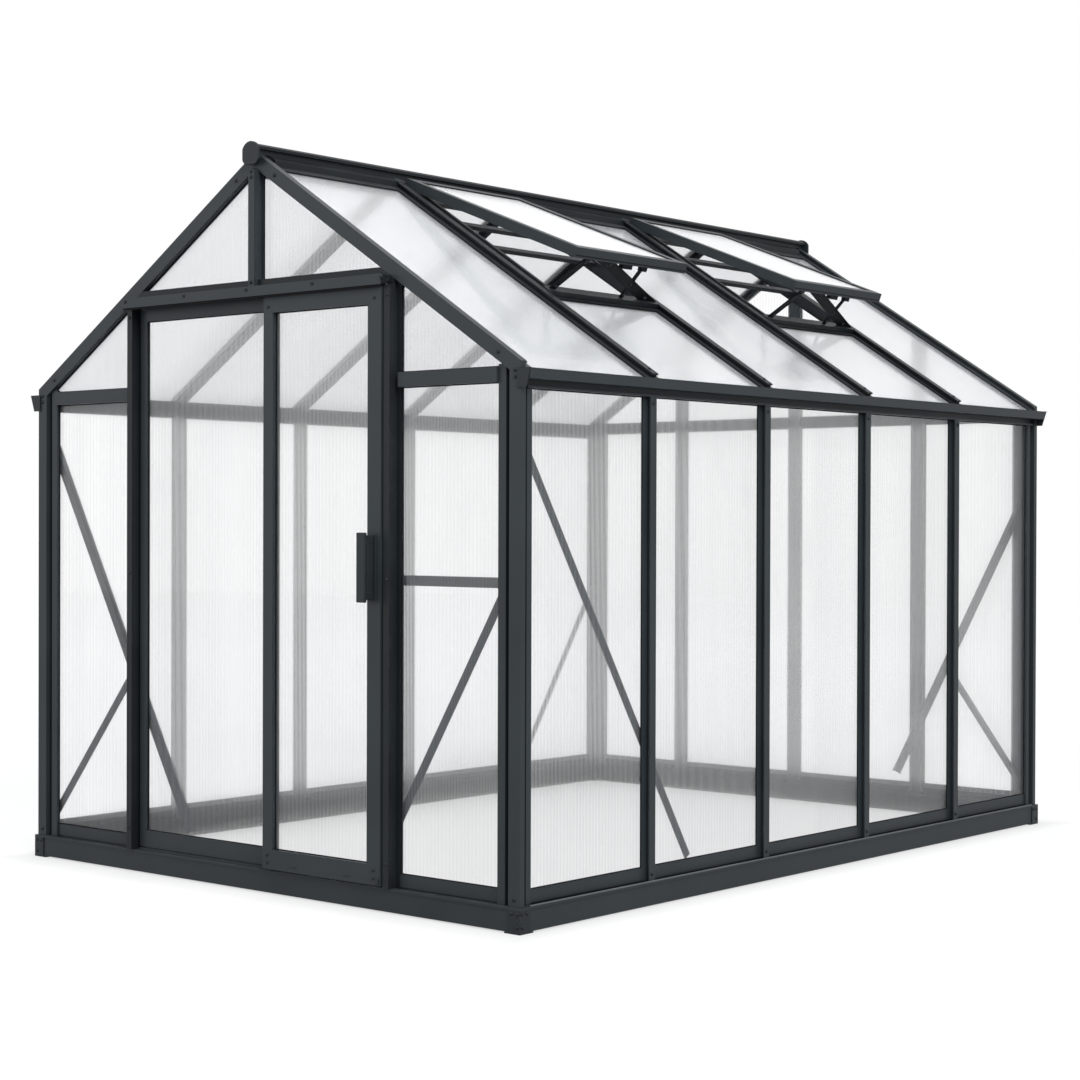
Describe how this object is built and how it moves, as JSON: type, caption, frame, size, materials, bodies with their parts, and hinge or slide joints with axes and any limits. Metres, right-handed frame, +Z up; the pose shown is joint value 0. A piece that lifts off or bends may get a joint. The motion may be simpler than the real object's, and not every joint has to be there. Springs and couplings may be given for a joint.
{
  "type": "greenhouse",
  "caption": "Walk-in gable greenhouse with twin-wall sheets in slim dark glazing bars, a folded base ring, a hung sliding door, gutters and roof vents standing open",
  "frame": {"origin": "on the ground at the centre of the base ring", "axes": "+Z up, -Y towards the gable with the door, +X towards the slope with the roof vents"},
  "size_m": [2.312, 3.17, 2.3757],
  "materials": {
    "frame_aluminium": "satin anthracite powder coat on extruded aluminium",
    "base_steel": "satin anthracite powder coat on folded steel",
    "shoe_steel": "satin anthracite powder coat on pressed steel",
    "brace_aluminium": "satin anthracite powder coat on a thin angle",
    "stay_steel": "dark satin powder coat on flat bar",
    "end_cap_plastic": "fine matt moulded plastic",
    "handle_plastic": "fine matt moulded plastic",
    "roller_plastic": "smooth wheels on plain hangers",
    "wall_sheet": "clear twin-wall sheet with upright flutes",
    "roof_sheet": "milky twin-wall sheet with flutes down the slope"
  },
  "bodies": {
    "building": {"base_gables": "base_steel", "base_sides": "base_steel", "corner_shoes": "shoe_steel", "sill_rails_gables": "frame_aluminium", "sill_rails_sides": "frame_aluminium", "corner_posts": "frame_aluminium", "side_posts_left": "frame_aluminium", "side_posts_right": "frame_aluminium", "door_posts": "frame_aluminium", "rear_posts": "frame_aluminium", "gable_eave_bars": "frame_aluminium", "mid_rail": "frame_aluminium", "gable_rafters_left": "frame_aluminium", "gable_rafters_right": "frame_aluminium", "roof_rafters_left": "frame_aluminium", "roof_rafters_right": "frame_aluminium", "ridge_beam": "frame_aluminium", "ridge_caps": "end_cap_plastic", "eave_beams": "frame_aluminium", "gutter_left": "frame_aluminium", "gutter_right": "frame_aluminium", "gutter_caps": "end_cap_plastic", "door_header": "frame_aluminium", "door_track": "frame_aluminium", "door_threshold": "frame_aluminium", "kingpost": "frame_aluminium", "braces_gables": "brace_aluminium", "braces_sides": "brace_aluminium", "wall_sheets_gables": "wall_sheet", "wall_sheets_left": "wall_sheet", "wall_sheets_right": "wall_sheet", "gable_sheets": "wall_sheet", "roof_sheets_left": "roof_sheet", "roof_sheets_right": "roof_sheet", "fixed_panel_frame": "frame_aluminium", "fixed_panel_sheet": "wall_sheet", "vent_sills": "frame_aluminium", "vent_frames": "frame_aluminium", "vent_sheets": "roof_sheet", "vent_stays": "stay_steel"},
    "door_leaf": {"door_stiles": "frame_aluminium", "door_rails": "frame_aluminium", "door_sheet": "wall_sheet", "door_handle": "handle_plastic", "door_rollers": "roller_plastic"}
  },
  "joints": [
    {"name": "door_slide", "type": "slide", "parent": "building", "child": "door_leaf", "axis": [-1, 0, 0], "range_m": [0, 0.5]}
  ]
}
